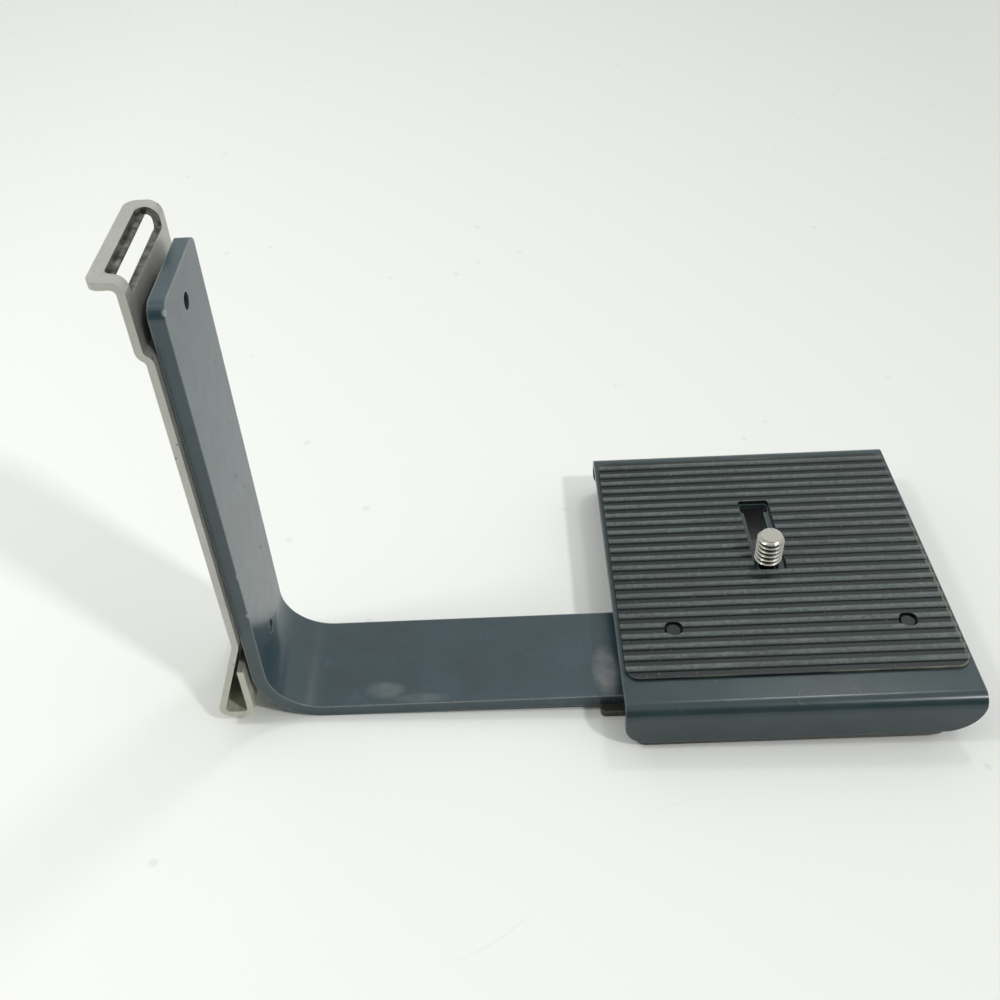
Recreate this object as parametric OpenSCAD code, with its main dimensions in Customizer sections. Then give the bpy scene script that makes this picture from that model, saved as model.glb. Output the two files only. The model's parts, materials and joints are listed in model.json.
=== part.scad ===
// Quick release flash bracket: a flat bar bent to an L, a ribbed camera plate on its
// foot and a folded spring strip with a finger loop on its upright.
// Millimetres. The origin is on the camera screw's axis, level with the ribs that the
// camera stands on. X runs along the bar, Y to the back, Z up.

/* [Camera plate] */
// Width of the folded plate, along the bar
plate_w = 76.2; // [60:0.1:90]
// Depth of the folded plate, front flange to back flange
plate_d = 85.6; // [80:0.1:100]
// Height of the plate's top over the surface that the bracket stands on
plate_h = 12; // [11.6:0.1:16]
// Thickness of the plate's sheet
plate_t = 1.5; // [1:0.1:1.8]
// Outer radius of the two long folds
plate_fold_r = 3; // [2.2:0.1:5]
// Radius of a flange's lower corner at the bar's end
flange_corner_near = 5.3; // [1:0.1:6]
// Radius of the front flange's lower corner at the free end
flange_corner_far = 7.5; // [1:0.1:8]

/* [Ribbed pad] */
// Number of ribs on the pad
rib_count = 23; // [12:1:24]
// Distance from rib to rib
rib_pitch = 3.085; // [2.6:0.005:3.1]
// Height of a rib over the pad's web
rib_h = 0.6; // [0.3:0.05:0.8]
// Width of a rib where it meets the web
rib_w = 2; // [1.2:0.1:2.4]
// Thickness of the pad's web
pad_web = 0.6; // [0.4:0.05:1]
// Radius of the pad's corners
pad_corner = 3; // [1:0.1:6]

/* [Keyhole and camera screw] */
// Width of the screw's slot in the plate
slot_w = 4.9; // [4.8:0.05:5.4]
// Length that the screw travels along the slot
slot_travel = 17; // [10:0.5:17]
// Outer radius of the camera screw's thread
screw_r = 3.175; // [3:0.005:3.4]
// Height of the screw over the ribs
screw_h = 7.4; // [5:0.1:9]
// Radius of the knob under the plate
knob_r = 11; // [9:0.1:12]
// Number of flutes around the knob
knob_flutes = 18; // [12:1:24]

/* [Bar] */
// Width of the bar
bar_w = 25; // [22:0.1:26]
// Thickness of the bar
bar_t = 3; // [2.5:0.1:3.2]
// Inner radius of the bar's bend
bend_r = 11.5; // [8:0.1:20]
// Distance from the camera screw to the upright's inner face
reach = 114.8; // [90:0.1:140]
// Height of the upright over the surface that the bracket stands on
upright_h = 107.6; // [90:0.1:130]
// Radius of the upright's front top corner
upright_corner = 3; // [1:0.1:10]
// Radius of the upright's back top corner
upright_corner_back = 2; // [1:0.1:10]
// Radius of the two holes in the upright
upright_hole_r = 1.6; // [1.6:0.05:2]

/* [Release strip] */
// Width of the strip
strip_w = 28.4; // [27:0.1:32]
// Thickness of the strip
strip_t = 1.4; // [1:0.1:1.5]
// Distance that the strip steps out below the loop
step_out = 1.4; // [1:0.1:1.5]
// Height of the loop's top over the surface that the bracket stands on
loop_h = 113.6; // [112:0.1:140]
// Reach of the loop's outer edge from the upright's inner face
loop_reach = 10.7; // [9.5:0.1:20]
// Width of the loop's front and back bars
loop_bar = 2.8; // [2:0.1:4]
// Width of the loop's outer bar
loop_outer_bar = 2.5; // [2:0.1:4]
// Angle of the foot's ramp from the upright
ramp_angle = 18.6; // [14:0.1:20]
// Inner radius of the foot's two lower folds
foot_fold_r = 1; // [0.6:0.05:1.2]
// Length of the flat between the foot's lower folds
foot_flat = 2.7; // [2:0.1:3]

/* [Hidden] */
$fn = 96;
// A cutter passes this far beyond the faces that it cuts
over = 1;
// Lengths of one sheet run this far into the next
lap = 0.01;

// Levels, from the ribs down to the surface that the bracket stands on
plate_top = -(pad_web + rib_h);
floor_z = plate_top - plate_h;
plate_under = plate_top - plate_t;
base_t = 1.6;
base_top = floor_z + base_t;
bar_under = base_top;
bar_top = bar_under + bar_t;

// Places along Y
plate_y = -0.5;
plate_front = plate_y - plate_d / 2;
plate_back = plate_y + plate_d / 2;
bar_y = -20.05;
strip_y = -20.3;
rivet_y = -20.9;

// Places along X
rivet_x = [-25.2, 27.2];
bar_end = 34;
base_left = -36;
base_right = 32.4;
base_front = plate_front + 0.7;
tongue_left = -42.4;
tongue_w = 29;

// Pad
pad_w = plate_w - 2;
pad_front = plate_front + 8.7;
pad_back = plate_back - 4.3;
first_rib = pad_back - 2.1;
pad_hole_r = 2.1;
pad_slot = [-3.5, 4];
pad_slot_front = -3.5;
pad_slot_back = slot_travel + 3.6;

// Front end of the screw's slot, and the wide end behind it
slot_front = -1;
entry_x = [-3.1, 3.7];
entry_front = slot_travel + 0.4;
entry_back = slot_travel + 3.5;

// Screw, washers and knob, from the top down
neck_r = 1.8;
screw_chamfer = 0.7;
washer_gap = 0.2;
washer_r = 7;
washer_t = 0.6;
washer_top = plate_under - washer_gap;
spring_t = 0.4;
spring_r = 5.5;
spring_top = washer_top - washer_t - washer_gap;
knob_top = spring_top - spring_t;
knob_bottom = bar_top + 0.5;
coin_slot_w = 1.6;
coin_slot_d = 1.4;
flute_r = 1;
pin_r = 0.7;
pin_z = (knob_top + knob_bottom + coin_slot_d) / 2;

// Rivets and spacers that hold the plate on the bar
rivet_r = 1.6;
rivet_fit = 0.05;
rivet_head_r = 1.95;
rivet_head_h = 0.5;
rivet_sink_r = 3;
rivet_sink_h = 1.2;
spacer_r = 4;

// Window in the base plate below the knob
window_x = 32;
window_front = -6;
window_back = 32;
window_corner = 5;

// Upright
inner_x = -reach;
outer_x = inner_x - bar_t;
upright_top = floor_z + upright_h;
upper_hole_z = floor_z + 101.3;
lower_hole_z = floor_z + 18.3;

// Release strip: its inner and outer face, and the same above the step
strip_in = outer_x - 0.15;
strip_out = strip_in - strip_t;
leg_in = strip_in - step_out;
leg_out = strip_out - step_out;
step_low = floor_z + 97.9;
step_high = floor_z + 100.6;
loop_top = floor_z + loop_h;
loop_end = inner_x - loop_reach;
loop_bend_r = 1;
loop_corner = 2.2;
window_corner_r = 1.4;
window_low = floor_z + 109.7;

// Foot of the strip: a ramp, two lower folds and a leg that comes back up
apex_r = 2;
foot_wide_r = foot_fold_r + strip_t;
foot_in = outer_x - 0.7;
foot_x = foot_in - foot_wide_r;
foot_left = foot_x - foot_flat;
foot_z = floor_z + 7.7;
foot_leg_top = floor_z + 21.1;
foot_leg_side = floor_z + 19.8;
foot_tab_w = 9;
// Height of the apex bend's centre, so that the ramp is tangent to both bends
apex_x = strip_out - apex_r;
ramp_gap = apex_r + foot_wide_r - cos(ramp_angle) * (foot_left - apex_x);
apex_z = foot_z + ramp_gap / sin(ramp_angle);
ramp_start = [apex_x + apex_r * cos(ramp_angle), apex_z - apex_r * sin(ramp_angle)];
ramp_end = [foot_left - foot_wide_r * cos(ramp_angle), foot_z + foot_wide_r * sin(ramp_angle)];

// Shoulder rivet of the strip, along X
strip_rivet_r = 1.5;
strip_rivet_bore = 1;
strip_rivet_head_r = 2.1;
strip_rivet_head_t = 0.4;
strip_rivet_fit = 0.15;

// Places a flat outline in the plane of X and Z, from y_from towards the back
module across_y(y_from, width) {
    translate([0, y_from + width, 0]) rotate([90, 0, 0]) linear_extrude(width) children();
}

// Places a flat outline, drawn in Y and Z, from x_from towards +X
module along_x(x_from, length) {
    translate([x_from, 0, 0]) rotate([90, 0, 90]) linear_extrude(length) children();
}

// A slice of a disc between two angles, under half a turn
module slice(r, from, to) {
    far = 2 * r;
    polygon([[0, 0],
             far * [cos(from), sin(from)],
             far * [cos((from + to) / 2), sin((from + to) / 2)],
             far * [cos(to), sin(to)]]);
}

// A bend of sheet: inner radius r, thickness t, between two angles
module bend(r, t, from, to) {
    intersection() {
        difference() {
            circle(r + t);
            circle(r);
        }
        slice(r + t, from, to);
    }
}

// A rectangle from one corner to the other with round corners
module round_box(low, high, r) {
    translate([low[0] + r, low[1]]) square([high[0] - low[0] - 2 * r, high[1] - low[1]]);
    translate([low[0], low[1] + r]) square([high[0] - low[0], high[1] - low[1] - 2 * r]);
    for (x = [low[0] + r, high[0] - r])
        for (y = [low[1] + r, high[1] - r])
            translate([x, y]) circle(r);
}

// What a round corner takes off: its point is at the origin, and it lies towards sx, sy
module corner_off(r, sx, sy) {
    translate([sx > 0 ? 0 : -r, sy > 0 ? 0 : -r]) difference() {
        translate([sx > 0 ? -over : 0, sy > 0 ? -over : 0]) square(r + over);
        translate([sx > 0 ? r : 0, sy > 0 ? r : 0]) circle(r);
    }
}

// A hole along Z
module hole_z(x, y, r, low, high) {
    translate([x, y, low]) cylinder(h = high - low, r = r);
}

// A hole along X through the upright
module upright_hole(z) {
    translate([outer_x - over, bar_y, z]) rotate([0, 90, 0])
        cylinder(h = bar_t + 2 * over, r = upright_hole_r);
}

// The bar: one strip of flat stock bent once
module bar() {
    color([0.27, 0.29, 0.35])
    difference() {
        across_y(bar_y - bar_w / 2, bar_w) {
            translate([inner_x + bend_r, bar_under]) square([bar_end - inner_x - bend_r, bar_t]);
            translate([inner_x + bend_r, bar_top + bend_r]) bend(bend_r, bar_t, 180, 270);
            translate([outer_x, bar_top + bend_r])
                square([bar_t, upright_top - bar_top - bend_r]);
        }
        for (side = [-1, 1])
            translate([outer_x - over, 0, 0]) along_x(0, bar_t + 2 * over)
                translate([bar_y + side * bar_w / 2, upright_top])
                    corner_off(side < 0 ? upright_corner : upright_corner_back, -side, -1);
        for (z = [upper_hole_z, lower_hole_z])
            upright_hole(z);
        for (x = rivet_x)
            hole_z(x, rivet_y, rivet_r + rivet_fit, bar_under - over, bar_top + over);
    }
}

// The outline of the plate's sheet across its two folds
module plate_section() {
    fold_in = plate_fold_r - plate_t;
    fold_z = plate_top - plate_fold_r;
    translate([plate_front + plate_fold_r, plate_under])
        square([plate_d - 2 * plate_fold_r, plate_t]);
    translate([plate_front + plate_fold_r, fold_z]) bend(fold_in, plate_t, 90, 180);
    translate([plate_back - plate_fold_r, fold_z]) bend(fold_in, plate_t, 0, 90);
    for (y = [plate_front, plate_back - plate_t])
        translate([y, base_top]) square([plate_t, fold_z - base_top]);
}

// The slot that the screw slides in, with the wide end behind it
module keyhole() {
    translate([0, slot_front]) circle(slot_w / 2);
    translate([-slot_w / 2, slot_front]) square([slot_w, entry_front + over - slot_front]);
    round_box([entry_x[0], entry_front], [entry_x[1], entry_back], 0.7);
}

// The camera plate: a folded sheet, open at its left and right ends
module camera_plate() {
    color([0.2, 0.21, 0.23])
    difference() {
        along_x(-plate_w / 2, plate_w) plate_section();
        translate([0, 0, plate_under - over]) linear_extrude(plate_t + 2 * over) keyhole();
        for (x = rivet_x)
            hole_z(x, rivet_y, rivet_r + rivet_fit, plate_under - over, plate_top + over);
        for (y = [plate_front - over, plate_back - plate_t - over])
            across_y(y, plate_t + 2 * over) {
                translate([-plate_w / 2, base_top]) corner_off(flange_corner_near, 1, 1);
                translate([plate_w / 2, base_top])
                    corner_off(y < 0 ? flange_corner_far : flange_corner_near, -1, 1);
            }
    }
}

// The outline of the pad across its ribs: a web and a row of round-topped ribs
module pad_section() {
    half = rib_w / 2;
    crown_r = (half * half + rib_h * rib_h) / (2 * rib_h);
    translate([pad_front, plate_top]) square([pad_back - pad_front, pad_web]);
    for (i = [0 : rib_count - 1])
        intersection() {
            translate([first_rib - i * rib_pitch, -crown_r]) circle(crown_r);
            translate([first_rib - i * rib_pitch - half, -rib_h - pad_web / 2])
                square([rib_w, rib_h + pad_web]);
        }
}

// The rubber pad, bonded on the plate
module ribbed_pad() {
    color([0.13, 0.135, 0.15])
    difference() {
        intersection() {
            along_x(-pad_w / 2, pad_w) pad_section();
            translate([0, 0, plate_top - over]) linear_extrude(pad_web + rib_h + 2 * over)
                round_box([-pad_w / 2, pad_front], [pad_w / 2, pad_back], pad_corner);
        }
        translate([0, 0, plate_top - over]) linear_extrude(pad_web + rib_h + 2 * over)
            round_box([pad_slot[0], pad_slot_front], [pad_slot[1], pad_slot_back], 0.8);
        for (x = rivet_x)
            hole_z(x, rivet_y, pad_hole_r, plate_top - over, over);
    }
}

// The base plate under the bar, with a tongue under the bar and a window for the knob
module base_plate() {
    color([0.22, 0.22, 0.21])
    difference() {
        translate([0, 0, floor_z]) linear_extrude(base_t) difference() {
            union() {
                round_box([base_left, base_front], [base_right, plate_back], 3);
                round_box([tongue_left, bar_y - tongue_w / 2],
                          [base_left + 8, bar_y + tongue_w / 2], 1.2);
            }
            round_box([-window_x / 2, window_front], [window_x / 2, window_back], window_corner);
        }
        for (x = rivet_x) {
            hole_z(x, rivet_y, rivet_r + rivet_fit, floor_z - over, base_top + over);
            translate([x, rivet_y, floor_z - rivet_fit])
                cylinder(h = rivet_sink_h + rivet_fit, r1 = rivet_sink_r + 2 * rivet_fit,
                         r2 = rivet_r + rivet_fit);
        }
    }
}

// A tube that holds the plate at its height over the bar
module spacer(x) {
    color([0.6, 0.6, 0.6])
    translate([x, rivet_y, bar_top]) difference() {
        cylinder(h = plate_under - bar_top, r = spacer_r);
        translate([0, 0, -over])
            cylinder(h = plate_under - bar_top + 2 * over, r = rivet_r + rivet_fit);
    }
}

// A rivet through plate, spacer, bar and base, countersunk below
module plate_rivet(x) {
    color([0.1, 0.1, 0.11])
    translate([x, rivet_y, 0]) {
        translate([0, 0, floor_z]) cylinder(h = plate_top - floor_z, r = rivet_r);
        translate([0, 0, floor_z]) cylinder(h = rivet_sink_h, r1 = rivet_sink_r, r2 = rivet_r);
        translate([0, 0, plate_top]) cylinder(h = rivet_head_h, r1 = rivet_head_r, r2 = 1.5);
    }
}

// The camera screw: thread above the ribs, neck in the slot, and a cross-drilled shank
module camera_screw() {
    color([0.78, 0.77, 0.74])
    difference() {
        union() {
            cylinder(h = screw_h - screw_chamfer, r = screw_r);
            translate([0, 0, screw_h - screw_chamfer])
                cylinder(h = screw_chamfer, r1 = screw_r, r2 = screw_r - screw_chamfer);
            translate([0, 0, knob_bottom + coin_slot_d])
                cylinder(h = -knob_bottom - coin_slot_d, r = neck_r);
        }
        pin_along_x(2 * neck_r + 2 * over);
    }
}

// The knob's cross pin, centred on the screw's axis
module pin_along_x(length) {
    translate([-length / 2, 0, pin_z]) rotate([0, 90, 0]) cylinder(h = length, r = pin_r);
}

// The knob: fluted rim, coin slot below, cross hole for its pin
module screw_knob() {
    knob_h = knob_top - knob_bottom;
    color([0.32, 0.33, 0.34])
    difference() {
        translate([0, 0, knob_bottom]) rotate_extrude()
            polygon([[0, 0], [knob_r - 0.5, 0], [knob_r, 0.5], [knob_r, knob_h - 0.5],
                     [knob_r - 0.5, knob_h], [0, knob_h]]);
        translate([0, 0, knob_bottom + coin_slot_d]) cylinder(h = knob_h, r = neck_r);
        translate([-knob_r + 3, -coin_slot_w / 2, knob_bottom - over])
            cube([2 * knob_r - 6, coin_slot_w, coin_slot_d + over]);
        for (i = [0 : knob_flutes - 1])
            rotate([0, 0, (i + 0.5) * 360 / knob_flutes])
                translate([knob_r + 0.35, 0, knob_bottom - over])
                    cylinder(h = knob_h + 2 * over, r = flute_r);
        pin_along_x(2 * knob_r);
    }
}

// The pin that locks the knob on the screw's shank
module knob_pin() {
    color([0.7, 0.7, 0.7])
    pin_along_x(2 * knob_r - 1.6);
}

// The washer that slides under the plate with the screw
module slide_washer() {
    color([0.85, 0.85, 0.82])
    translate([0, 0, washer_top - washer_t]) difference() {
        cylinder(h = washer_t, r = washer_r);
        translate([0, 0, -over]) cylinder(h = washer_t + 2 * over, r = neck_r + 0.05);
    }
}

// The spring washer on the knob
module spring_washer() {
    color([0.7, 0.7, 0.7])
    translate([0, 0, spring_top - spring_t]) difference() {
        cylinder(h = spring_t, r = spring_r);
        translate([0, 0, -over]) cylinder(h = spring_t + 2 * over, r = neck_r);
    }
}

// The strip's bends, seen along Y: foot, straight run, step and loop
module strip_section() {
    step_angle = 2 * atan(step_out / (step_high - step_low));
    step_mid_r = step_out / (2 * (1 - cos(step_angle)));
    step_r = step_mid_r - strip_t / 2;
    step_lap = 0.05;
    normal = strip_t * [cos(ramp_angle), -sin(ramp_angle)];
    run = lap * [sin(ramp_angle), cos(ramp_angle)];
    // The leg that comes back up, the two lower folds, the ramp and the apex bend
    translate([foot_in - strip_t, foot_z - lap]) square([strip_t, foot_leg_top - foot_z + lap]);
    translate([foot_x, foot_z]) bend(foot_fold_r, strip_t, 270, 360);
    translate([foot_left - lap, foot_z - foot_wide_r]) square([foot_flat + 2 * lap, strip_t]);
    translate([foot_left, foot_z]) bend(foot_fold_r, strip_t, 180 - ramp_angle, 270);
    polygon([ramp_start + run, ramp_end - run, ramp_end + normal - run, ramp_start + normal + run]);
    translate([apex_x, apex_z]) bend(apex_r, strip_t, -ramp_angle, 0);
    // The straight run and the step
    translate([strip_out, apex_z - lap]) square([strip_t, step_low - apex_z + 2 * lap]);
    translate([strip_out - step_r, step_low]) bend(step_r, strip_t, 0, step_angle + step_lap);
    translate([leg_in + step_r, step_high]) bend(step_r, strip_t, 180, 180 + step_angle);
    // The leg above the step and the loop
    translate([leg_out, step_high - lap])
        square([strip_t, loop_top - strip_t - loop_bend_r - step_high + 2 * lap]);
    translate([leg_out - loop_bend_r, loop_top - strip_t - loop_bend_r])
        bend(loop_bend_r, strip_t, 0, 90);
    translate([loop_end, loop_top - strip_t])
        square([leg_out - loop_bend_r - loop_end + lap, strip_t]);
}

// The release strip: one piece of spring steel with its loop and folded foot
module release_strip() {
    front = strip_y - strip_w / 2;
    back = strip_y + strip_w / 2;
    color([0.72, 0.7, 0.66])
    difference() {
        across_y(front, strip_w) strip_section();
        // Window of the loop, in its flat top and down into the leg
        translate([0, 0, window_low + 3]) linear_extrude(loop_top - window_low)
            round_box([loop_end + loop_outer_bar, front + loop_bar], [strip_in + 6, back - loop_bar],
                      window_corner_r);
        along_x(leg_out - over, strip_in - leg_out + over)
            round_box([front + loop_bar, window_low], [back - loop_bar, loop_top + 4], 0.6);
        // Round outer corners of the loop
        for (side = [-1, 1])
            translate([0, 0, loop_top - strip_t - over / 2]) linear_extrude(strip_t + over)
                translate([loop_end, strip_y + side * strip_w / 2])
                    corner_off(loop_corner, 1, -side);
        // Clearance hole for the rivet in the foot's leg, and the leg's narrow end
        translate([foot_in - strip_t - 0.2, bar_y, lower_hole_z]) rotate([0, 90, 0])
            cylinder(h = strip_t + 0.4, r = strip_rivet_r + strip_rivet_fit);
        for (y = [front - over, bar_y + foot_tab_w / 2])
            translate([foot_in - strip_t - 0.2, y, foot_leg_side])
                cube([strip_t + 0.4, back + over - bar_y - foot_tab_w / 2,
                      foot_leg_top + 0.2 - foot_leg_side]);
    }
}

// The hollow rivet that holds the foot's leg on the bar, with a collar between the two
module strip_rivet() {
    leg_x = foot_in - strip_t - strip_rivet_fit;
    collar_x = foot_in + strip_rivet_fit;
    end_x = inner_x - 0.6;
    color([0.5, 0.5, 0.5])
    translate([0, bar_y, lower_hole_z]) rotate([0, 90, 0]) difference() {
        union() {
            translate([0, 0, leg_x - strip_rivet_head_t])
                cylinder(h = strip_rivet_head_t, r = strip_rivet_head_r);
            translate([0, 0, leg_x]) cylinder(h = outer_x - leg_x, r = strip_rivet_r);
            translate([0, 0, collar_x])
                cylinder(h = outer_x - collar_x, r = strip_rivet_head_r);
            translate([0, 0, outer_x])
                cylinder(h = end_x - outer_x, r = upright_hole_r - rivet_fit);
        }
        translate([0, 0, leg_x - over])
            cylinder(h = inner_x - leg_x + 2 * over, r = strip_rivet_bore);
    }
}

bar();
camera_plate();
ribbed_pad();
base_plate();
spacer(rivet_x[0]);  // spacer_left
spacer(rivet_x[1]);  // spacer_right
plate_rivet(rivet_x[0]);  // plate_rivet_left
plate_rivet(rivet_x[1]);  // plate_rivet_right
camera_screw();
screw_knob();
knob_pin();
slide_washer();
spring_washer();
release_strip();
strip_rivet();
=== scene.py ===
"""Finishes of a quick release flash bracket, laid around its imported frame.

Each operator dresses one piece or one group of like pieces. Sizes and colours that a user
would change are in the property groups. Lengths are in metres, in the frame of the part.
"""
import json
import math

import bmesh
import bpy
from bpy.props import FloatProperty, FloatVectorProperty, IntProperty, PointerProperty
from bpy.types import Operator, Panel, PropertyGroup
from mathutils import Matrix, Vector


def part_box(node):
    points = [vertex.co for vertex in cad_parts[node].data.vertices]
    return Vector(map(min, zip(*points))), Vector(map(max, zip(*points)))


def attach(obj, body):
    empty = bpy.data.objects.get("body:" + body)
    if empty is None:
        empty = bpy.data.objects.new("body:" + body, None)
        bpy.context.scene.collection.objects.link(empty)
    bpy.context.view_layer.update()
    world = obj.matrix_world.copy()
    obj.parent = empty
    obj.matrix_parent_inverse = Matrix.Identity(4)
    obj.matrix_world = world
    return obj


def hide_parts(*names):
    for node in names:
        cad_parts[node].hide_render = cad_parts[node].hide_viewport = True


bl_info = {
    "name": "Flash Bracket Finishes",
    "version": (1, 0, 0),
    "blender": (4, 5, 0),
    "location": "3D View > Sidebar > Bracket",
    "description": "Dresses the packed flash bracket: painted bar and plate, pad, screw and strip",
    "category": "Object",
}

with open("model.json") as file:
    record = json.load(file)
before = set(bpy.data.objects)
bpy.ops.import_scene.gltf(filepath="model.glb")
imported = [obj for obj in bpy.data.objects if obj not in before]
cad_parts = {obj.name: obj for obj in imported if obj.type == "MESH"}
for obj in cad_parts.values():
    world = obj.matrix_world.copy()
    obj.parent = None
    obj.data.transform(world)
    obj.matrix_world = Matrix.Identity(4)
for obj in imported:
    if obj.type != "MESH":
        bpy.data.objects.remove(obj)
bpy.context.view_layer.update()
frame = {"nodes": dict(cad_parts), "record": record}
cad_nodes = frame["nodes"]

MM = 0.001

# Colours of soil, dust, painted shade and painted light on the pieces
WINDOW_WALL_SHADE = (0.045, 0.042, 0.036, 1.0)
FOOT_SOIL_AND_LIGHT = (0.60, 0.60, 0.46, 1.0)
THREAD_GROOVE_DARK = (0.07, 0.068, 0.058, 1.0)
STEEL_STAIN = (0.06, 0.055, 0.045, 1.0)
RIM_DUST = (0.17, 0.18, 0.12, 1.0)
TABLE_CLOUD = (0.5, 0.5, 0.48, 1.0)
TABLE_MARK = (0.30, 0.30, 0.28, 1.0)

# Marks on the bar, in millimetres: centre, half sizes, strength; stains, chips and painted
# highlights
BAR_MARKS = (
    ((-90.4, -28.4, -8.6), (5.0, 2.8, 2.0), 0.26),  # stain near the bend
    ((-82.0, -31.0, -8.6), (7.0, 1.6, 2.0), 0.2),  # smear along the front edge
    ((-40.5, -25.0, -8.6), (3.4, 8.0, 2.0), 0.5),  # pale patch by the camera plate: painted glare, partly worn paint
    ((-114.8, -32.5, 33.0), (0.5, 0.4, 0.8), 1.0),  # chip on the upright's front edge
    ((-115.0, -32.6, 21.8), (0.4, 0.4, 0.6), 1.0),  # lower chip on that edge
    ((-114.8, -32.2, 93.2), (0.7, 0.9, 0.9), 1.0),  # painted highlight at the upright's front top corner
)

# The loop's window, whose cut walls get painted shade, and the part of the foot that gets soil and
# painted light, on the release strip
LOOP_WINDOW = ((-123.0, -31.7, 96.5), (-119.45, -8.9, 100.3))
FOOT_SOIL_AND_LIGHT_Z = (-2.0 * MM, 12.0 * MM)

# One pitch of the thread's groove: share of the pitch, height in shares of its depth
THREAD_SECTION = ((0.0, 0.0), (0.20, 0.0), (0.30, 0.18), (0.52, 0.9), (0.56, 1.0),
                  (0.68, 1.0), (0.72, 0.9), (0.94, 0.18))
NECK_LAP = 0.2 * MM

# Times a place, this leaves its X and Y
FLAT = (1.0, 1.0, 0.0)

# The world is darker behind the camera: where the shade sets in and where it is full
SHADE_Y = (-0.25, -0.62)
SHADE_Z = (0.92, 0.70)
WORLD_COLOUR = (0.985, 1.0, 0.985, 1.0)

# Lamps: name, direction from the part, distance, size, setting with the power
LAMPS = (("right lamp", (0.50, -0.44, 0.74), 1.2, 0.085, "right_power"),
         ("left lamp", (-0.56, -0.08, 0.82), 0.62, 0.07, "left_power"),
         ("back lamp", (0.30, 0.42, 0.85), 1.0, 0.13, "back_power"))
LAMP_AIM = (-0.04, 0.0, 0.0)

TABLE_HALF = 4.0
# Painted light: between these X the table's colour darkens, for the light that falls off to the
# right
TABLE_PAINTED_FALLOFF_X = (-0.22, 0.16)
SENSOR_WIDTH = 36.0
NEAREST_VIEW = 0.005


def node_box(node):
    """Lowest and highest corner of a frame node as vectors."""
    low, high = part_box(node)
    return Vector(low), Vector(high)


class FinishSettings(PropertyGroup):
    """Colours and finishes of the bracket's materials."""

    bar_colour: FloatVectorProperty(
        name="Bar", description="Paint of the bent bar", subtype="COLOR", size=3,
        min=0, max=1, default=(0.028, 0.055, 0.068))
    plate_colour: FloatVectorProperty(
        name="Camera plate", description="Paint of the folded camera plate", subtype="COLOR",
        size=3, min=0, max=1, default=(0.023, 0.042, 0.047))
    base_colour: FloatVectorProperty(
        name="Base plate", description="Dark coat of the base plate", subtype="COLOR", size=3,
        min=0, max=1, default=(0.042, 0.044, 0.033))
    rubber_colour: FloatVectorProperty(
        name="Pad", description="Rubber of the ribbed pad", subtype="COLOR", size=3,
        min=0, max=1, default=(0.014, 0.027, 0.027))
    dust_colour: FloatVectorProperty(
        name="Dust", description="Pale dust and scuffs on the ribs", subtype="COLOR", size=3,
        min=0, max=1, default=(0.15, 0.17, 0.155))
    # Also the colour of the painted highlights on paler edges and on some marks
    bare_and_highlight_colour: FloatVectorProperty(
        name="Bare metal", description="Metal that shows where paint is worn off",
        subtype="COLOR", size=3, min=0, max=1, default=(0.30, 0.31, 0.30))
    strip_colour: FloatVectorProperty(
        name="Strip", description="Spring steel of the release strip", subtype="COLOR",
        size=3, min=0, max=1, default=(0.50, 0.495, 0.455))
    screw_colour: FloatVectorProperty(
        name="Screw", description="Bright steel of the camera screw", subtype="COLOR",
        size=3, min=0, max=1, default=(0.54, 0.53, 0.48))
    paint_roughness: FloatProperty(
        name="Paint roughness", description="Roughness of the satin paint",
        subtype="FACTOR", min=0, max=1, default=0.24)


class ThreadSettings(PropertyGroup):
    """Sizes of the camera screw's thread."""

    radius: FloatProperty(
        name="Outer radius", description="Radius over the thread's crests", unit="LENGTH",
        min=0.002, max=0.006, default=3.175 * MM)
    pitch: FloatProperty(
        name="Pitch", description="Distance from crest to crest", unit="LENGTH",
        min=0.0005, max=0.003, default=1.27 * MM)
    depth: FloatProperty(
        name="Depth", description="Depth of the groove below the crest", unit="LENGTH",
        min=0.0002, max=0.0015, default=0.74 * MM)
    neck_radius: FloatProperty(
        name="Neck radius", description="Radius of the plain neck below the thread",
        unit="LENGTH", min=0.001, max=0.003, default=1.8 * MM)
    chamfer: FloatProperty(
        name="Chamfer", description="Chamfer at the screw's end", unit="LENGTH",
        min=0.0001, max=0.0015, default=0.7 * MM)
    steps: IntProperty(
        name="Steps", description="Steps of the thread around the screw", min=24, max=192,
        default=96)


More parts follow.
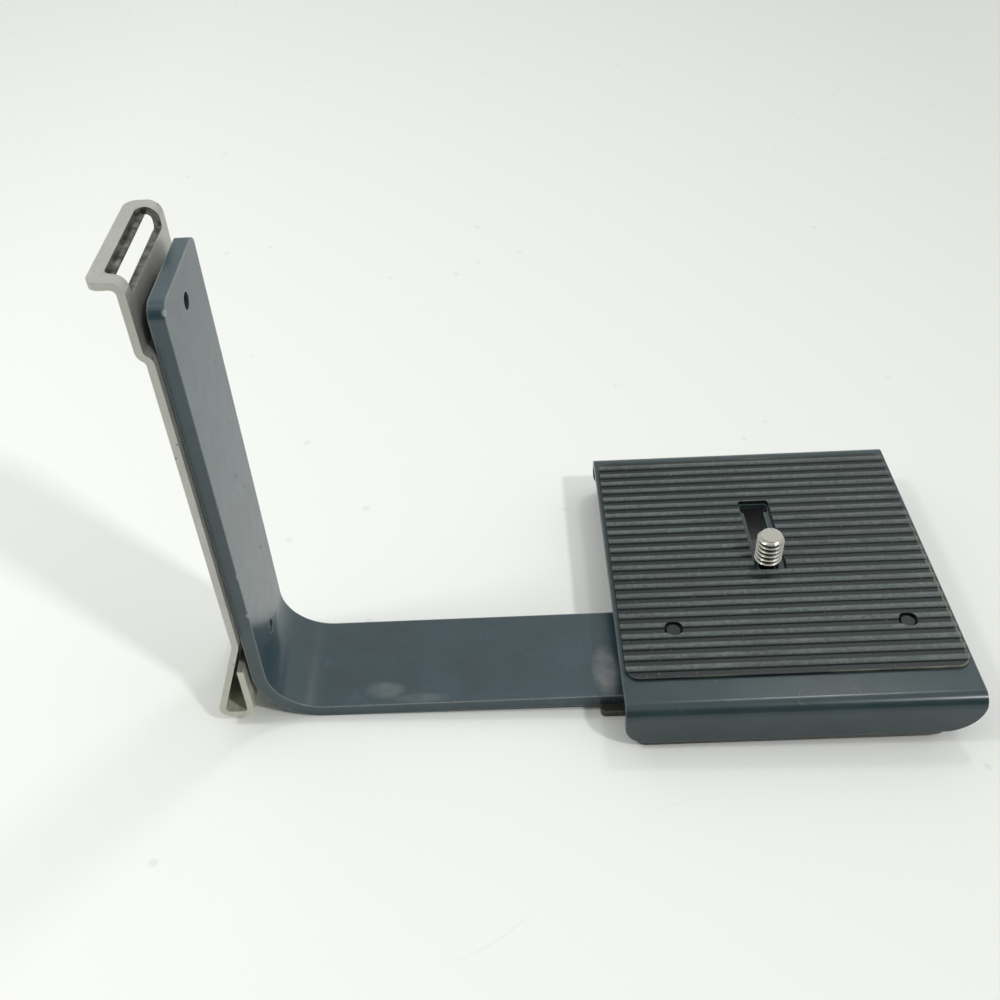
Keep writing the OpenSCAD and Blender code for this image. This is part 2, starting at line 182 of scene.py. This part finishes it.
class StageSettings(PropertyGroup):
    """The table, the lights and the camera."""

    table_colour: FloatVectorProperty(
        name="Table", description="Colour of the pale table", subtype="COLOR", size=3,
        min=0, max=1, default=(0.92, 0.93, 0.90))
    rest_slope: FloatProperty(
        name="Rest slope",
        description="Fall of the table below the bracket, which rests on its bend",
        subtype="ANGLE", min=0, max=0.1, default=0.0263)
    world_strength: FloatProperty(
        name="World", description="Strength of the light from all around", min=0, max=2,
        default=0.79)
    shade_strength: FloatProperty(
        name="Shade", description="Share of that light that comes from behind the camera",
        subtype="FACTOR", min=0, max=1, default=0.12)
    right_power: FloatProperty(
        name="Right lamp", description="Power of the lamp at the front right",
        unit="POWER", min=0, max=200, default=4.4)
    left_power: FloatProperty(
        name="Left lamp", description="Power of the lamp at the left", unit="POWER",
        min=0, max=200, default=0.62)
    back_power: FloatProperty(
        name="Back lamp", description="Power of the high lamp behind the plate",
        unit="POWER", min=0, max=200, default=1.0)
    camera_place: FloatVectorProperty(
        name="Camera", description="Place of the camera", subtype="XYZ", unit="LENGTH",
        size=3, default=(-0.06006, -0.18600, 0.18554))
    camera_pitch: FloatProperty(
        name="Pitch", description="Angle that the camera looks down", subtype="ANGLE",
        default=0.721738)
    camera_yaw: FloatProperty(
        name="Yaw", description="Angle that the camera is turned towards the plate",
        subtype="ANGLE", default=-0.015263)
    camera_roll: FloatProperty(
        name="Roll", description="Angle that the camera leans", subtype="ANGLE",
        default=-0.051096)
    lens: FloatProperty(
        name="Lens", description="Focal length on a 36 mm sensor", unit="CAMERA",
        min=10, max=200, default=39.587)


class Graph:
    """A short way to place and link nodes in a material or a group."""

    def __init__(self, tree):
        self.tree = tree

    def add(self, kind, inputs=None, **settings):
        made = self.tree.nodes.new(kind)
        for key, value in settings.items():
            setattr(made, key, value)
        for key, value in (inputs or {}).items():
            self.put(made.inputs[key], value)
        return made

    def put(self, socket, value):
        if isinstance(value, bpy.types.NodeSocket):
            self.tree.links.new(value, socket)
        else:
            socket.default_value = value

    def maths(self, operation, a, b=0.0, clamp=False):
        return self.add("ShaderNodeMath", {0: a, 1: b}, operation=operation,
                        use_clamp=clamp).outputs[0]

    def vector(self, operation, a, b=(0.0, 0.0, 0.0)):
        made = self.add("ShaderNodeVectorMath", {0: a, 1: b}, operation=operation)
        single = operation in {"LENGTH", "DOT_PRODUCT"}
        return made.outputs["Value" if single else "Vector"]

    def split(self, vector):
        """The X, Y and Z outputs of a vector."""
        return self.add("ShaderNodeSeparateXYZ", {0: vector}).outputs

    def ramp(self, value, low, high, to_low=0.0, to_high=1.0):
        """The value moved from one range to another, held at its ends."""
        return self.add("ShaderNodeMapRange", {
            "Value": value, "From Min": low, "From Max": high,
            "To Min": to_low, "To Max": to_high}, clamp=True).outputs["Result"]

    def mix(self, factor, a, b):
        made = self.add("ShaderNodeMix", data_type="RGBA")
        self.put(made.inputs["Factor"], factor)
        self.put(made.inputs["A"], a)
        self.put(made.inputs["B"], b)
        return made.outputs["Result"]

    def noise(self, vector, scale, detail=3.0, roughness=0.55, distortion=0.0):
        return self.add("ShaderNodeTexNoise", {
            "Vector": vector, "Scale": scale, "Detail": detail, "Roughness": roughness,
            "Distortion": distortion}).outputs["Fac"]

    def stretched(self, vector, scale):
        return self.add("ShaderNodeMapping", {"Vector": vector, "Scale": scale}).outputs[0]


def rgba(colour, scale=1.0):
    """The colour as a socket takes it, made lighter or darker by a factor."""
    return tuple(min(1.0, part * scale) for part in colour) + (1.0,)


def new_group(name, inputs, outputs):
    """An empty shader group with named float or vector sockets."""
    tree = bpy.data.node_groups.new(name, "ShaderNodeTree")
    for label, kind, default in inputs:
        socket = tree.interface.new_socket(name=label, in_out="INPUT", socket_type=kind)
        if default is not None:
            socket.default_value = default
    for label, kind in outputs:
        tree.interface.new_socket(name=label, in_out="OUTPUT", socket_type=kind)
    graph = Graph(tree)
    return graph, graph.add("NodeGroupInput"), graph.add("NodeGroupOutput")


def edge_wear_and_highlight_group():
    """Mask of paler edges, for worn paint and a painted highlight: where a rounded normal leaves
    the true one, broken up by noise.
    """
    made = bpy.data.node_groups.get("Edge wear")
    if made:
        return made
    graph, given, out = new_group(
        "Edge wear",
        [("Vector", "NodeSocketVector", None), ("Radius", "NodeSocketFloat", 0.0004),
         ("Reach", "NodeSocketFloat", 0.1), ("Break-up scale", "NodeSocketFloat", 700.0),
         ("Break-up", "NodeSocketFloat", 0.5)],
        [("Mask", "NodeSocketFloat")])
    round_normal = graph.add("ShaderNodeBevel", {"Radius": given.outputs["Radius"]}, samples=6)
    true_normal = graph.add("ShaderNodeNewGeometry").outputs["True Normal"]
    facing = graph.vector("DOT_PRODUCT", round_normal.outputs[0], true_normal)
    edge = graph.maths("SUBTRACT", 1.0, facing)
    edge = graph.maths("DIVIDE", edge, given.outputs["Reach"], clamp=True)
    patches = graph.noise(given.outputs["Vector"], given.outputs["Break-up scale"], 4.0)
    cut = graph.maths("SUBTRACT", graph.maths("MULTIPLY", edge, 1.6),
                      graph.maths("MULTIPLY", patches, graph.maths(
                          "MULTIPLY", given.outputs["Break-up"], 2.4)))
    graph.put(out.inputs["Mask"], graph.ramp(cut, 0.05, 0.35))
    return graph.tree


def speck_group():
    """Mask of small scattered specks: dust, chips and stains at one size."""
    made = bpy.data.node_groups.get("Specks")
    if made:
        return made
    graph, given, out = new_group(
        "Specks",
        [("Vector", "NodeSocketVector", None), ("Scale", "NodeSocketFloat", 900.0),
         ("Share", "NodeSocketFloat", 0.1)],
        [("Mask", "NodeSocketFloat")])
    cells = graph.add("ShaderNodeTexVoronoi", {
        "Vector": given.outputs["Vector"], "Scale": given.outputs["Scale"],
        "Randomness": 1.0})
    chance = graph.add("ShaderNodeSeparateColor", {0: cells.outputs["Color"]}).outputs[0]
    chosen = graph.maths("LESS_THAN", chance, given.outputs["Share"])
    dot = graph.ramp(cells.outputs["Distance"], 0.32, 0.18)
    graph.put(out.inputs["Mask"], graph.maths("MULTIPLY", chosen, dot))
    return graph.tree


def scratch_group():
    """Mask of fine scratches that run mostly one way."""
    made = bpy.data.node_groups.get("Scratches")
    if made:
        return made
    graph, given, out = new_group(
        "Scratches",
        [("Vector", "NodeSocketVector", None), ("Scale", "NodeSocketFloat", 60.0),
         ("Width", "NodeSocketFloat", 0.012)],
        [("Mask", "NodeSocketFloat")])
    bent = graph.noise(given.outputs["Vector"], given.outputs["Scale"], 2.0, 0.5, 0.6)
    near = graph.maths("ABSOLUTE", graph.maths("SUBTRACT", bent, 0.5))
    line = graph.ramp(near, 0.0, given.outputs["Width"], 1.0, 0.0)
    where = graph.ramp(graph.noise(given.outputs["Vector"], graph.maths(
        "MULTIPLY", given.outputs["Scale"], 2.3), 1.0), 0.55, 0.68)
    graph.put(out.inputs["Mask"], graph.maths("MULTIPLY", line, where))
    return graph.tree


class Surface:
    """A material with one principled shader and object coordinates at hand."""

    def __init__(self, name, ior=1.5, metallic=0.0):
        self.material = bpy.data.materials.new(name)
        self.material.use_nodes = True
        self.graph = Graph(self.material.node_tree)
        self.shader = self.material.node_tree.nodes["Principled BSDF"]
        self.place = self.graph.add("ShaderNodeTexCoord").outputs["Object"]
        self.shader.inputs["IOR"].default_value = ior
        self.shader.inputs["Metallic"].default_value = metallic

    def group(self, tree, **inputs):
        made = self.graph.add("ShaderNodeGroup", node_tree=tree)
        for key, value in inputs.items():
            self.graph.put(made.inputs[key.replace("_", " ")], value)
        return made.outputs[0]

    def bump(self, height, distance, strength=1.0):
        made = self.graph.add("ShaderNodeBump", {
            "Height": height, "Distance": distance, "Strength": strength})
        self.graph.put(self.shader.inputs["Normal"], made.outputs[0])

    def colour(self, value):
        self.graph.put(self.shader.inputs["Base Color"], value)

    def roughness(self, value):
        self.graph.put(self.shader.inputs["Roughness"], value)

    def metallic(self, value):
        self.graph.put(self.shader.inputs["Metallic"], value)

    def dull(self, share):
        """A thin oxide film: the metal scatters a share of the light like a matt coat."""
        self.shader.inputs["Metallic"].default_value = 1.0 - share

    def cover(self, mask, colour):
        """Lays a colour over the one that is there already."""
        clean = self.shader.inputs["Base Color"].links[0].from_socket
        self.colour(self.graph.mix(mask, clean, colour))

    def shade_window_walls(self, low, high):
        """Painted shade on the cut walls of an opening that fills a box."""
        graph = self.graph
        middle, half = (low + high) / 2, (high - low) / 2
        aside = graph.vector("ABSOLUTE", graph.vector("SUBTRACT", self.place, middle))
        past = graph.split(graph.vector("SUBTRACT", aside, half))
        far = graph.maths("MAXIMUM", past["X"], graph.maths("MAXIMUM", past["Y"], past["Z"]))
        patches = graph.noise(self.place, 500.0, 4.0, 0.65)
        deep = graph.maths("MULTIPLY", graph.ramp(far, 0.12 * MM, -0.02 * MM),
                           graph.ramp(patches, 0.35, 0.6, 0.55, 1.0))
        self.cover(deep, WINDOW_WALL_SHADE)

    def soil_and_light_foot(self, low, high):
        """Olive soil, made pale to paint the light inside the foot, that thickens towards the
        foot, between two heights.
        """
        graph = self.graph
        height = graph.split(self.place)["Z"]
        patches = graph.noise(self.place, 420.0, 5.0, 0.7)
        deep = graph.maths("MULTIPLY", graph.ramp(height, high, low),
                           graph.ramp(patches, 0.35, 0.6, 0.25, 1.0))
        self.cover(graph.maths("MULTIPLY", deep, 0.75), FOOT_SOIL_AND_LIGHT)
        metal = self.shader.inputs["Metallic"].default_value
        self.metallic(graph.ramp(deep, 0.0, 1.0, metal, 0.1))

    def darken_groove(self, inner, outer, top):
        """Darker colour in the groove of a thread around Z, below its end face."""
        graph = self.graph
        far = graph.vector("LENGTH", graph.vector("MULTIPLY", self.place, FLAT))
        below = graph.maths("LESS_THAN", graph.split(self.place)["Z"], top)
        deep = graph.maths("MULTIPLY", graph.ramp(far, outer, inner), below)
        self.cover(graph.maths("MULTIPLY", deep, 0.85), THREAD_GROOVE_DARK)


def spot(surface, centre, size):
    """Soft mask of an ellipsoid on the piece, for a stain, a worn place or a painted highlight."""
    graph = surface.graph
    away = graph.vector("DIVIDE", graph.vector("SUBTRACT", surface.place, centre), size)
    return graph.ramp(graph.vector("LENGTH", away), 1.0, 0.55)


def paint(name, colour, finish, wear=0.5, wear_radius=0.5 * MM, scratches=0.15, mottle=0.12,
          rubbed_and_highlit=0.35, ior=1.5, spots=()):
    """Satin paint with slight mottling, fine scratches and paler edges, partly worn paint and
    partly a painted highlight.

    Each spot is a centre, a size and a strength of a pale stain, a chip or a painted highlight.
    """
    surface = Surface(name, ior=ior)
    graph = surface.graph
    mottled = graph.noise(surface.place, 90.0, 5.0, 0.6)
    base = graph.mix(graph.ramp(mottled, 0.35, 0.65), rgba(colour, 1.0 - mottle),
                     rgba(colour, 1.0 + mottle))
    lines = surface.group(scratch_group(), Vector=surface.place, Scale=55.0, Width=0.010)
    base = graph.mix(graph.maths("MULTIPLY", lines, scratches), base, rgba(colour, 3.0))
    # Paler edges: partly worn paint, partly a painted highlight
    worn = surface.group(edge_wear_and_highlight_group(), Vector=surface.place, Radius=wear_radius,
                         Reach=0.10, **{"Break-up": 1.0 - wear})
    base = graph.mix(graph.maths("MULTIPLY", worn, rubbed_and_highlit), base, rgba(finish.bare_and_highlight_colour))
    blot = graph.noise(surface.place, 300.0, 4.0, 0.65)
    for centre, size, strength in spots:
        mark = graph.maths("MULTIPLY", spot(surface, centre, size),
                           graph.ramp(blot, 0.25, 0.6, 0.3 * strength, strength))
        base = graph.mix(mark, base, rgba(finish.bare_and_highlight_colour))
    surface.colour(base)
    rough = graph.ramp(graph.noise(surface.place, 260.0, 4.0), 0.3, 0.7,
                       finish.paint_roughness - 0.02, finish.paint_roughness + 0.03)
    surface.roughness(graph.maths("ADD", rough, graph.maths("MULTIPLY", lines, 0.1)))
    surface.bump(graph.noise(surface.place, 2600.0, 2.0), 0.02 * MM, 0.2)
    return surface


def rim_mask(surface, low, high, radius, width):
    """Mask of a band inside the outline of a rectangle with round corners, seen from above."""
    graph = surface.graph
    middle = (low + high) / 2
    reach = (high - low) / 2 - Vector((radius, radius, 0.0))
    flat = graph.vector("MULTIPLY", surface.place, FLAT)
    aside = graph.vector("ABSOLUTE", graph.vector("SUBTRACT", flat, middle * Vector(FLAT)))
    past = graph.vector("MAXIMUM", graph.vector("SUBTRACT", aside, reach * Vector(FLAT)))
    return graph.ramp(graph.vector("LENGTH", past), radius - width, radius - 0.6 * width)


def rubber(finish):
    """Rubber with dusty, worn crests, darker grooves and dust along its rim."""
    surface = Surface("Ribbed rubber", ior=1.48)
    graph = surface.graph
    axes = graph.split(surface.place)
    height = graph.ramp(axes["Z"], -0.32 * MM, -0.05 * MM)
    streaks = graph.noise(graph.stretched(surface.place, (160.0, 520.0, 100.0)), 1.0, 5.0, 0.7)
    cloud = graph.noise(surface.place, 38.0, 4.0, 0.6)
    fine = graph.noise(surface.place, 900.0, 3.0, 0.7)
    scuff = graph.maths("MULTIPLY", height, graph.ramp(graph.maths(
        "ADD", graph.maths("MULTIPLY", streaks, 0.7), graph.maths("MULTIPLY", cloud, 0.6)),
        0.30, 0.78))
    specks = surface.group(speck_group(), Vector=surface.place, Scale=1500.0, Share=0.05)
    base = graph.mix(graph.ramp(cloud, 0.3, 0.7), rgba(finish.rubber_colour, 0.7),
                     rgba(finish.rubber_colour, 2.3))
    base = graph.mix(height, rgba(finish.rubber_colour, 0.35), base)
    dusty = graph.mix(graph.maths("MULTIPLY", scuff, graph.ramp(fine, 0.3, 0.7, 0.25, 1.0)),
                      base, rgba(finish.dust_colour))
    low, high = node_box("ribbed_pad")
    right = graph.ramp(axes["X"], low.x, high.x, 0.15, 1.0)
    rim = graph.maths("MULTIPLY", rim_mask(surface, low, high, 3.0 * MM, 0.45 * MM),
                      graph.maths("MULTIPLY", right, graph.ramp(cloud, 0.42, 0.62, 0.0, 0.8)))
    dusty = graph.mix(rim, dusty, RIM_DUST)
    dusty = graph.mix(graph.maths("MULTIPLY", specks, 0.45), dusty, rgba(finish.dust_colour))
    surface.colour(dusty)
    surface.roughness(graph.ramp(scuff, 0.0, 1.0, 0.42, 0.60))
    surface.bump(graph.maths("ADD", graph.noise(surface.place, 1800.0, 3.0),
                             graph.maths("MULTIPLY", streaks, 0.8)), 0.06 * MM, 0.6)
    return surface.material


def steel(name, colour, roughness, along=(1.0, 1.0, 1.0), stains=0.0):
    """Bare steel with fine lines along one direction and faint stains."""
    surface = Surface(name, metallic=1.0)
    graph = surface.graph
    lines = graph.noise(graph.stretched(surface.place, tuple(3000.0 * a for a in along)),
                        1.0, 3.0, 0.6)
    cloud = graph.noise(surface.place, 120.0, 4.0, 0.65)
    base = graph.mix(graph.ramp(cloud, 0.35, 0.7), rgba(colour, 0.86), rgba(colour))
    if stains:
        specks = surface.group(speck_group(), Vector=surface.place, Scale=1100.0, Share=stains)
        base = graph.mix(graph.maths("MULTIPLY", specks, 0.75), base, STEEL_STAIN)
    surface.colour(base)
    surface.roughness(graph.ramp(graph.maths("ADD", lines, cloud), 0.7, 1.3,
                                 roughness - 0.06, roughness + 0.08))
    surface.bump(lines, 0.01 * MM, 0.35)
    return surface


def body_of_node(node):
    """Name of the body that a frame node belongs to."""
    for body, members in frame["record"]["behaviour"]["bodies"].items():
        if node in members:
            return body
    raise RuntimeError("no body holds " + node)


def finish_mesh(bm, name, material, smooth_below=35.0):
    """An object at the origin from a bmesh, shaded smooth below an angle."""
    mesh = bpy.data.meshes.new(name)
    bm.to_mesh(mesh)
    bm.free()
    mesh.shade_smooth()
    mesh.set_sharp_from_angle(angle=math.radians(smooth_below))
    mesh.materials.append(material)
    piece = bpy.data.objects.new(name, mesh)
    bpy.context.scene.collection.objects.link(piece)
    even = piece.modifiers.new("Even normals", "WEIGHTED_NORMAL")
    even.mode = "FACE_AREA"
    even.weight = 100
    even.keep_sharp = True
    return piece


def stand_for(piece, node):
    """The piece rides on the node's body and hides the node."""
    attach(piece, body_of_node(node))
    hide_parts(node)


def eased_copy(node, name, material, radius, sharp_above=40.0, segments=2):
    """A merged copy of a frame node with its sharp edges eased to a small radius."""
    bm = bmesh.new()
    bm.from_mesh(cad_nodes[node].data)
    bmesh.ops.remove_doubles(bm, verts=bm.verts, dist=1e-6)
    bmesh.ops.dissolve_limit(bm, angle_limit=math.radians(0.3), verts=bm.verts,
                             edges=bm.edges, use_dissolve_boundaries=False)
    limit = math.radians(sharp_above)
    sharp = [e for e in bm.edges if len(e.link_faces) == 2 and e.calc_face_angle() > limit]
    bmesh.ops.bevel(bm, geom=sharp, offset=radius, offset_type="OFFSET", segments=segments,
                    profile=0.5, affect="EDGES", material=-1, clamp_overlap=True,
                    miter_outer="SHARP", miter_inner="SHARP")
    piece = finish_mesh(bm, name, material)
    stand_for(piece, node)


def repaint(node, material):
    """A frame node keeps its own mesh and gets a better material."""
    mesh = cad_nodes[node].data
    if len(mesh.materials) == 0:
        mesh.materials.append(material)
    for index in range(len(mesh.materials)):
        mesh.materials[index] = material


class BRACKET_OT_bar(Operator):
    """Dresses the bent bar in blue-black satin paint"""

    bl_idname = "bracket.bar"
    bl_label = "Bar"

    def execute(self, context):
        finish = context.scene.bracket_finish
        spots = [(Vector(centre) * MM, Vector(size) * MM, strength)
                 for centre, size, strength in BAR_MARKS]
        # The bar's paler edges and some of its marks are painted highlights as well as wear
        surface = paint("Bar paint", finish.bar_colour, finish, wear=0.55, rubbed_and_highlit=0.6,
                        ior=1.6, spots=spots)
        eased_copy("bar", "bar_painted", surface.material, 0.18 * MM)
        return {"FINISHED"}


class BRACKET_OT_plates(Operator):
    """Dresses the camera plate and the base plate"""

    bl_idname = "bracket.plates"
    bl_label = "Plates"

    def execute(self, context):
        finish = context.scene.bracket_finish
        top = paint("Plate paint", finish.plate_colour, finish, wear=0.5, ior=1.52)
        eased_copy("camera_plate", "camera_plate_painted", top.material, 0.15 * MM)
        base = paint("Base coat", finish.base_colour, finish, wear=0.55)
        eased_copy("base_plate", "base_plate_painted", base.material, 0.2 * MM)
        return {"FINISHED"}


class BRACKET_OT_pad(Operator):
    """Dresses the ribbed pad in worn rubber"""

    bl_idname = "bracket.pad"
    bl_label = "Pad"

    def execute(self, context):
        finish = context.scene.bracket_finish
        repaint("ribbed_pad", rubber(finish))
        return {"FINISHED"}


class BRACKET_OT_screw(Operator):
    """Cuts the camera screw's thread"""

    bl_idname = "bracket.screw"
    bl_label = "Camera screw"

    def execute(self, context):
        finish = context.scene.bracket_finish
        thread = context.scene.bracket_thread
        low, high = node_box("camera_screw")
        surface = steel("Screw steel", finish.screw_colour, 0.24)
        crest = thread.radius
        # Darker colour in the thread's groove below the chamfer
        surface.darken_groove(crest - 0.75 * thread.depth, crest - 0.25 * thread.depth,
                           high.z - thread.chamfer)
        bm = bmesh.new()
        self.groove(bm, thread, high.z)
        self.trim(bm, thread, high.z)
        bmesh.ops.create_cone(bm, cap_ends=True, segments=48, radius1=thread.neck_radius,
                              radius2=thread.neck_radius, depth=NECK_LAP - low.z,
                              matrix=Matrix.Translation((0, 0, (NECK_LAP + low.z) / 2)))
        piece = finish_mesh(bm, "camera_screw_thread", surface.material, smooth_below=28.0)
        stand_for(piece, "camera_screw")
        return {"FINISHED"}

    def groove(self, bm, thread, top):
        """The thread's skin, spun from its section and longer than the screw at both ends."""
        root = thread.radius - thread.depth
        pitch = thread.pitch
        section = [(part, root + share * thread.depth) for part, share in THREAD_SECTION]
        turns = math.ceil(top / pitch + 1) + 1
        line = [bm.verts.new((radius, 0.0, (turn - 1 + part) * pitch))
                for turn in range(turns) for part, radius in section]
        edges = [bm.edges.new(pair) for pair in zip(line, line[1:])]
        bmesh.ops.spin(bm, geom=line + edges, cent=(0, 0, 0), axis=(0, 0, 1),
                       dvec=(0, 0, pitch / thread.steps), angle=2 * math.pi,
                       steps=thread.steps, use_merge=False)
        bmesh.ops.remove_doubles(bm, verts=bm.verts, dist=2e-6)

    def trim(self, bm, thread, top):
        """Cuts the skin at z 0 and at the top, chamfers its end and closes both ends."""
        shoulder = top - thread.chamfer
        for height, above, below in ((0.0, False, True), (top, True, False),
                                     (shoulder, False, False)):
            bmesh.ops.bisect_plane(bm, geom=bm.verts[:] + bm.edges[:] + bm.faces[:],
                                   dist=1e-7, plane_co=(0, 0, height), plane_no=(0, 0, 1),
                                   clear_outer=above, clear_inner=below)
        for vert in bm.verts:
            over = vert.co.z - shoulder
            radius = math.hypot(vert.co.x, vert.co.y)
            limit = thread.radius - over
            if over > 0 and radius > limit:
                vert.co.x *= limit / radius
                vert.co.y *= limit / radius
        rim = [e for e in bm.edges if e.is_boundary]
        bmesh.ops.holes_fill(bm, edges=rim, sides=0)
        bmesh.ops.recalc_face_normals(bm, faces=bm.faces)


class BRACKET_OT_strip(Operator):
    """Dresses the release strip in satin spring steel"""

    bl_idname = "bracket.strip"
    bl_label = "Release strip"

    def execute(self, context):
        finish = context.scene.bracket_finish
        surface = steel("Strip steel", finish.strip_colour, 0.34, (1.0, 1.0, 0.04), 0.035)
        surface.dull(0.35)
        # Painted shade on the cut walls of the loop's window
        surface.shade_window_walls(*(Vector(corner) * MM for corner in LOOP_WINDOW))
        # Soil towards the foot, made pale as painted light inside the foot
        surface.soil_and_light_foot(*FOOT_SOIL_AND_LIGHT_Z)
        eased_copy("release_strip", "release_strip_steel", surface.material, 0.15 * MM)
        return {"FINISHED"}


class BRACKET_OT_hardware(Operator):
    """Dresses spacers, rivets, washers, knob and pin"""

    bl_idname = "bracket.hardware"
    bl_label = "Hardware"

    def execute(self, context):
        finish = context.scene.bracket_finish
        zinc = steel("Zinc-plated steel", (0.58, 0.57, 0.54), 0.36)
        for node in ("spacer_left", "spacer_right", "spring_washer", "knob_pin",
                     "strip_rivet"):
            repaint(node, zinc.material)
        dark = paint("Rivet paint", (0.006, 0.009, 0.009), finish, wear=0.0, rubbed_and_highlit=0.0)
        for node in ("plate_rivet_left", "plate_rivet_right", "slide_washer"):
            repaint(node, dark.material)
        knob = paint("Knob coat", (0.045, 0.046, 0.05), finish, wear=0.6)
        eased_copy("screw_knob", "screw_knob_coated", knob.material, 0.08 * MM)
        return {"FINISHED"}


class BRACKET_OT_stage(Operator):
    """Sets up the table, the lights and the camera"""

    bl_idname = "bracket.stage"
    bl_label = "Stage"

    def execute(self, context):
        scene = context.scene
        stage = scene.bracket_stage
        self.table(stage)
        self.lights(scene, stage)
        self.camera(scene, stage)
        scene.view_settings.view_transform = "Standard"
        return {"FINISHED"}

    def table(self, stage):
        """A large table that the base's left end and the bend rest on."""
        low = node_box("base_plate")[0]
        surface = Surface("Pale table", ior=1.45)
        graph = surface.graph
        cloud = graph.noise(surface.place, 3.0, 4.0, 0.5)
        across = graph.split(surface.place)["X"]
        # Painted light: the colour falls to four fifths towards +X, where the light on the table
        # falls off
        tone_and_falloff = graph.mix(graph.ramp(across, *TABLE_PAINTED_FALLOFF_X), rgba(stage.table_colour),
                         rgba(stage.table_colour, 0.80))
        tone_and_falloff = graph.mix(graph.maths("MULTIPLY", cloud, 0.03), tone_and_falloff, TABLE_CLOUD)
        specks = surface.group(speck_group(), Vector=surface.place, Scale=260.0, Share=0.008)
        lines = surface.group(scratch_group(), Vector=surface.place, Scale=9.0, Width=0.0012)
        marks = graph.maths("ADD", graph.maths("MULTIPLY", specks, 0.14),
                            graph.maths("MULTIPLY", lines, 0.12), clamp=True)
        tone_and_falloff = graph.mix(marks, tone_and_falloff, TABLE_MARK)
        surface.colour(tone_and_falloff)
        surface.shader.inputs["Roughness"].default_value = 0.55
        surface.shader.inputs["Specular IOR Level"].default_value = 0.25
        bm = bmesh.new()
        bmesh.ops.create_grid(bm, x_segments=1, y_segments=1, size=TABLE_HALF)
        turn = Matrix.Rotation(stage.rest_slope, 4, "Y")
        place = Matrix.Translation((low.x, 0.0, low.z))
        bmesh.ops.transform(bm, matrix=place @ turn, verts=bm.verts)
        finish_mesh(bm, "table", surface.material)

    def lights(self, scene, stage):
        """Pale light from all around, less from behind the camera, and three lamps."""
        world = bpy.data.worlds.new("Even light")
        scene.world = world
        world.use_nodes = True
        graph = Graph(world.node_tree)
        light = world.node_tree.nodes["Background"]
        way = graph.split(graph.add("ShaderNodeTexCoord").outputs["Generated"])
        shade = graph.maths("MULTIPLY", graph.ramp(way["Y"], *SHADE_Y),
                            graph.ramp(way["Z"], *SHADE_Z))
        light.inputs["Color"].default_value = WORLD_COLOUR
        graph.put(light.inputs["Strength"], graph.ramp(
            shade, 0.0, 1.0, stage.world_strength, stage.world_strength * stage.shade_strength))
        for name, way, distance, size, power in LAMPS:
            self.lamp(scene, name, way, distance, size, getattr(stage, power))

    def lamp(self, scene, name, way, distance, size, power):
        """A square lamp that lies one way from the part's middle and faces it."""
        data = bpy.data.lights.new(name, "AREA")
        data.shape = "SQUARE"
        data.size = size
        data.energy = power
        lamp = bpy.data.objects.new(name, data)
        scene.collection.objects.link(lamp)
        ahead = Vector(way).normalized()
        lamp.location = Vector(LAMP_AIM) + distance * ahead
        lamp.rotation_euler = (-ahead).to_track_quat("-Z", "Y").to_euler()

    def camera(self, scene, stage):
        """The camera at the photograph's place, turned by yaw, pitch and roll."""
        yaw, pitch, roll = stage.camera_yaw, stage.camera_pitch, stage.camera_roll
        ahead = Vector((math.sin(yaw) * math.cos(pitch), math.cos(yaw) * math.cos(pitch),
                        -math.sin(pitch)))
        right = Vector((math.cos(yaw), -math.sin(yaw), 0.0))
        up = right.cross(ahead)
        across = math.cos(roll) * right + math.sin(roll) * up
        upward = math.cos(roll) * up - math.sin(roll) * right
        data = bpy.data.cameras.new("view")
        data.lens = stage.lens
        data.sensor_width = SENSOR_WIDTH
        data.clip_start = NEAREST_VIEW
        camera = bpy.data.objects.new("view", data)
        scene.collection.objects.link(camera)
        turn = Matrix((across, upward, -ahead)).transposed().to_4x4()
        camera.matrix_world = Matrix.Translation(stage.camera_place) @ turn
        scene.camera = camera


class BRACKET_PT_panel(Panel):
    """Lists the bracket's settings and operators"""

    bl_label = "Flash bracket"
    bl_idname = "BRACKET_PT_panel"
    bl_space_type = "VIEW_3D"
    bl_region_type = "UI"
    bl_category = "Bracket"

    def draw(self, context):
        scene = context.scene
        for settings in (scene.bracket_finish, scene.bracket_thread, scene.bracket_stage):
            box = self.layout.box()
            for name in settings.__annotations__:
                box.prop(settings, name)
        for operator in OPERATORS:
            self.layout.operator(operator.bl_idname)


OPERATORS = (BRACKET_OT_bar, BRACKET_OT_plates, BRACKET_OT_pad, BRACKET_OT_screw,
             BRACKET_OT_strip, BRACKET_OT_hardware, BRACKET_OT_stage)
CLASSES = (FinishSettings, ThreadSettings, StageSettings) + OPERATORS + (BRACKET_PT_panel,)


def register():
    for item in CLASSES:
        bpy.utils.register_class(item)
    bpy.types.Scene.bracket_finish = PointerProperty(type=FinishSettings)
    bpy.types.Scene.bracket_thread = PointerProperty(type=ThreadSettings)
    bpy.types.Scene.bracket_stage = PointerProperty(type=StageSettings)


def unregister():
    for name in ("bracket_stage", "bracket_thread", "bracket_finish"):
        delattr(bpy.types.Scene, name)
    for item in reversed(CLASSES):
        bpy.utils.unregister_class(item)


def main():
    """Dresses every piece and sets the stage."""
    register()
    bpy.ops.bracket.bar()
    bpy.ops.bracket.plates()
    bpy.ops.bracket.pad()
    bpy.ops.bracket.screw()
    bpy.ops.bracket.strip()
    bpy.ops.bracket.hardware()
    bpy.ops.bracket.stage()


if __name__ == "__main__":
    main()
